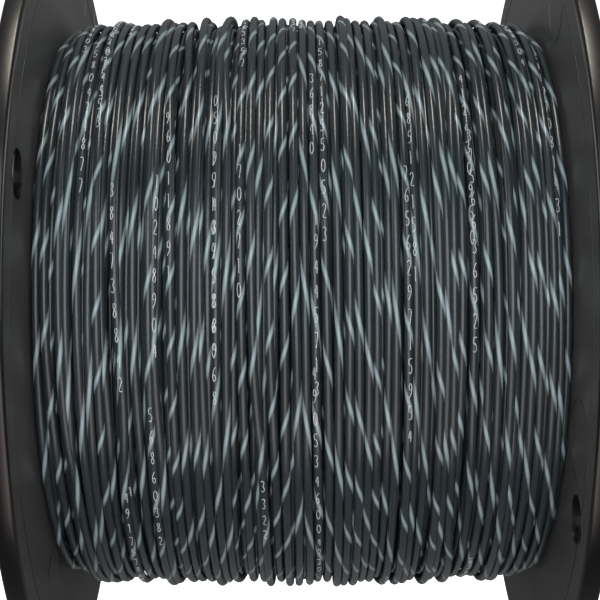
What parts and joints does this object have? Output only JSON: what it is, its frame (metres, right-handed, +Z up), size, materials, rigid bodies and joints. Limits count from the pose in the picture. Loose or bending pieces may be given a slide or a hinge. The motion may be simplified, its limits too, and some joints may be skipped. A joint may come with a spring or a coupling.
{
  "type": "wire spool",
  "caption": "Black flanged plastic spool filled with layers of thin dark grey insulated wire that carries a pale spiral stripe, lying on its rims.",
  "frame": {"origin": "on the surface the spool lies on, under the middle of the spool's length", "axes": "+X along the spool's axis to the right of the picture, +Y away from the viewer, +Z up"},
  "size_m": [0.1124, 0.165, 0.165],
  "materials": {
    "spool_plastic": "glossy black moulded polystyrene",
    "wire_insulation": "semi-gloss extruded PVC, dark grey with a pale stripe"
  },
  "bodies": {
    "root": {"spool": "spool_plastic", "wire_winding": "wire_insulation"}
  },
  "joints": []
}
